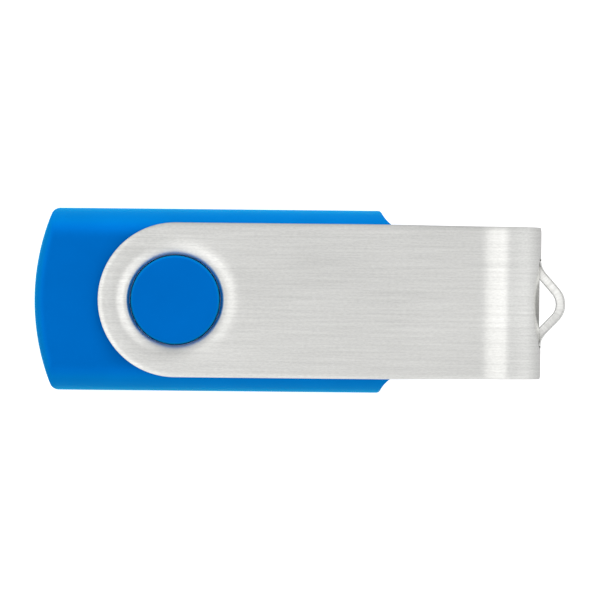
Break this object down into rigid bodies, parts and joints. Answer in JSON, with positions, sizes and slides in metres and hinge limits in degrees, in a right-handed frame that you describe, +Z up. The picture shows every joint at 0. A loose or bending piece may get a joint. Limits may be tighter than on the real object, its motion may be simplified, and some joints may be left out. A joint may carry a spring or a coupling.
{
  "type": "usb flash drive",
  "caption": "Swivel USB flash drive: a plastic body with a plug, and a folded metal clip with a lanyard loop that turns about a round hub to cover or free the plug.",
  "frame": {"origin": "centre of the bounding box's footprint, on the plane of the clip's lower face", "axes": "+X along the drive from the rear end towards the plug and the lanyard loop, +Z up out of the clip's upper face, +Y across"},
  "size_m": [0.0568, 0.0194, 0.011],
  "materials": {
    "clip_aluminium": "brushed lengthwise, satin",
    "shell_plastic": "smooth, slightly soft sheen",
    "plug_metal": "nickel plated, satin",
    "tongue_plastic": "moulded, matt",
    "contact_metal": "gold plated, polished",
    "board_laminate": "green solder mask",
    "chip_plastic": "moulded epoxy with tinned leads",
    "can_metal": "nickel plated",
    "led_resin": "clear resin on a white base",
    "capacitor_ceramic": "fired ceramic with tinned ends",
    "resistor_ceramic": "glazed with tinned ends"
  },
  "bodies": {
    "drive_body": {"upper_shell": "shell_plastic", "lower_shell": "shell_plastic", "usb_plug_shell": "plug_metal", "plug_tongue": "tongue_plastic", "contact_vbus": "contact_metal", "contact_data_minus": "contact_metal", "contact_data_plus": "contact_metal", "contact_ground": "contact_metal", "circuit_board": "board_laminate", "controller_chip": "chip_plastic", "flash_chip": "chip_plastic", "crystal_can": "can_metal", "activity_led": "led_resin", "capacitor_1": "capacitor_ceramic", "capacitor_2": "capacitor_ceramic", "capacitor_3": "capacitor_ceramic", "capacitor_4": "capacitor_ceramic", "capacitor_5": "capacitor_ceramic", "capacitor_6": "capacitor_ceramic", "resistor_1": "resistor_ceramic", "resistor_2": "resistor_ceramic", "resistor_3": "resistor_ceramic", "resistor_4": "resistor_ceramic", "resistor_5": "resistor_ceramic"},
    "clip": {"swivel_clip": "clip_aluminium"}
  },
  "joints": [
    {"name": "clip_swivel", "type": "hinge", "parent": "drive_body", "child": "clip", "pos_m": [-0.01337, 0, 0.0055], "axis": [0, 0, 1], "continuous": true}
  ]
}
